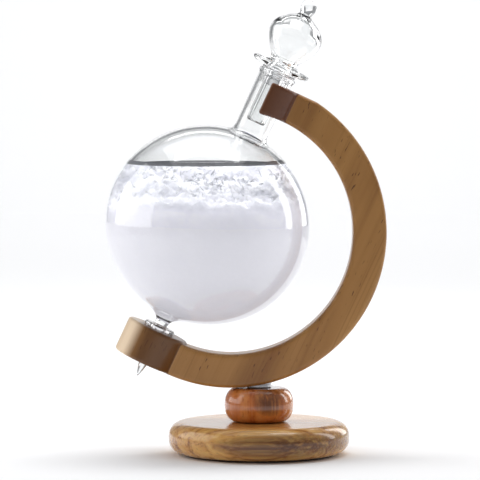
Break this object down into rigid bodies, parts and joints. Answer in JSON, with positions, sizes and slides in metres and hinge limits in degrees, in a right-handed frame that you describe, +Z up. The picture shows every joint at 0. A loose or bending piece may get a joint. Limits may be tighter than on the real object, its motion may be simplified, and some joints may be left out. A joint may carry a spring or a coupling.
{
  "type": "storm glass globe on stand",
  "caption": "Tilted clear glass storm-glass globe with white crystals and a ball-topped stopper, held in a wooden C-arm on a bead and round base.",
  "frame": {"origin": "centre of the felt pad's underside, the face the stand rests on", "axes": "+Z up; +X to the right, towards the open side of the arm's curve; +Y to the back. The arm and the globe's axis lie in the XZ plane, and the globe leans 25 degrees from +Z towards +X"},
  "size_m": [0.1369, 0.1, 0.2224],
  "materials": {
    "felt": "matte",
    "base_wood": "gloss",
    "bead_wood": "gloss",
    "arm_wood": "satin",
    "steel": "satin",
    "clear_silicone": "satin",
    "glass": "polished",
    "solution": "polished",
    "crystals": "matte"
  },
  "bodies": {
    "stand": {"felt_pad": "felt", "base_disc": "base_wood", "base_screw": "steel", "screw_washer": "steel", "bead_spacer": "bead_wood", "steel_collar": "steel", "c_arm": "arm_wood", "tail_washer": "clear_silicone", "solution": "solution", "crystal_bed": "crystals"},
    "globe": {"glass_globe": "glass", "neck_seal": "clear_silicone"},
    "stopper": {"glass_stopper": "glass"}
  },
  "joints": [
    {"name": "globe_spin", "type": "hinge", "parent": "stand", "child": "globe", "pos_m": [-0.0252, 0, 0.1125], "axis": [0.4226, 0, 0.9063], "continuous": true},
    {"name": "stopper_lift", "type": "slide", "parent": "globe", "child": "stopper", "axis": [0.4226, 0, 0.9063], "range_m": [0, 0.045]}
  ]
}
